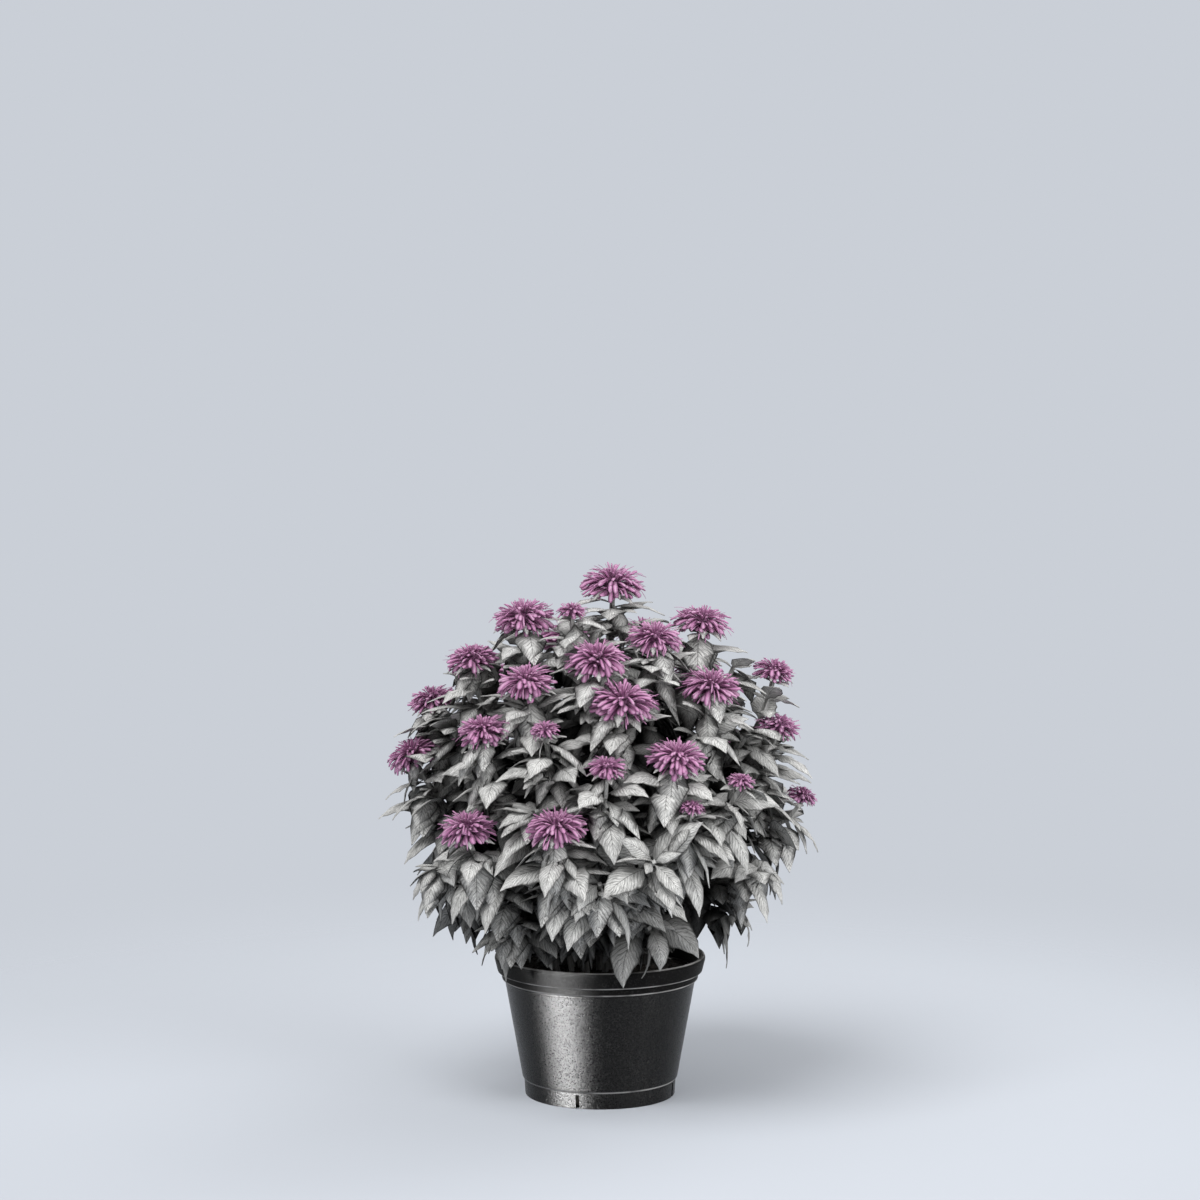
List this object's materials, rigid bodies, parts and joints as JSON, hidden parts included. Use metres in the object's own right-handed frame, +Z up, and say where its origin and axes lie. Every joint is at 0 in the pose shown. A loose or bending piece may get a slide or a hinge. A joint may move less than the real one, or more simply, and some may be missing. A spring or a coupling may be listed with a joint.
{
  "type": "potted bee balm",
  "caption": "Rounded bush of purple bee balm in full flower, with square stems and toothed opposite leaves, in a short black nursery pot",
  "frame": {"origin": "middle of the pot's flat base, on the ground", "axes": "+Z points up out of the pot, -Y is the side that the picture shows, +X is to the right as seen from there"},
  "size_m": [0.3427, 0.3463, 0.4169],
  "materials": {
    "pot_plastic": "smooth black moulded plastic with a soft sheen",
    "potting_soil": "dark, crumbly potting mix of peat and bark",
    "foliage": "grey toothed leaves with dark veins and a faint sheen",
    "petals": "soft magenta purple, paler along the middle of each petal"
  },
  "bodies": {
    "root": {"flower_head_01": "petals", "flower_head_02": "petals", "flower_head_03": "petals", "flower_head_04": "petals", "flower_head_05": "petals", "flower_head_06": "petals", "flower_head_07": "petals", "flower_head_08": "petals", "flower_head_09": "petals", "flower_head_10": "petals", "flower_head_11": "petals", "flower_head_12": "petals", "flower_head_13": "petals", "flower_head_14": "petals", "flower_head_15": "petals", "flower_head_16": "petals", "flower_head_17": "petals", "flower_head_18": "petals", "flower_head_19": "petals", "flower_head_20": "petals", "flower_head_21": "petals", "flower_head_22": "petals", "flower_head_23": "petals", "flower_head_24": "petals", "flower_head_25": "petals", "flower_head_26": "petals", "flower_head_27": "petals", "flower_head_28": "petals", "flower_head_29": "petals", "flower_head_30": "petals", "flower_head_31": "petals", "flower_head_32": "petals", "flower_head_33": "petals", "flower_head_34": "petals", "flower_head_35": "petals", "leafy_stem_01": "foliage", "leafy_stem_02": "foliage", "leafy_stem_03": "foliage", "leafy_stem_04": "foliage", "leafy_stem_05": "foliage", "leafy_stem_06": "foliage", "leafy_stem_07": "foliage", "leafy_stem_08": "foliage", "leafy_stem_09": "foliage", "leafy_stem_10": "foliage", "leafy_stem_11": "foliage", "leafy_stem_12": "foliage", "leafy_stem_13": "foliage", "leafy_stem_14": "foliage", "leafy_stem_15": "foliage", "leafy_stem_16": "foliage", "leafy_stem_17": "foliage", "leafy_stem_18": "foliage", "leafy_stem_19": "foliage", "leafy_stem_20": "foliage", "leafy_stem_21": "foliage", "leafy_stem_22": "foliage", "leafy_stem_23": "foliage", "pot": "pot_plastic", "soil": "potting_soil"}
  },
  "joints": []
}
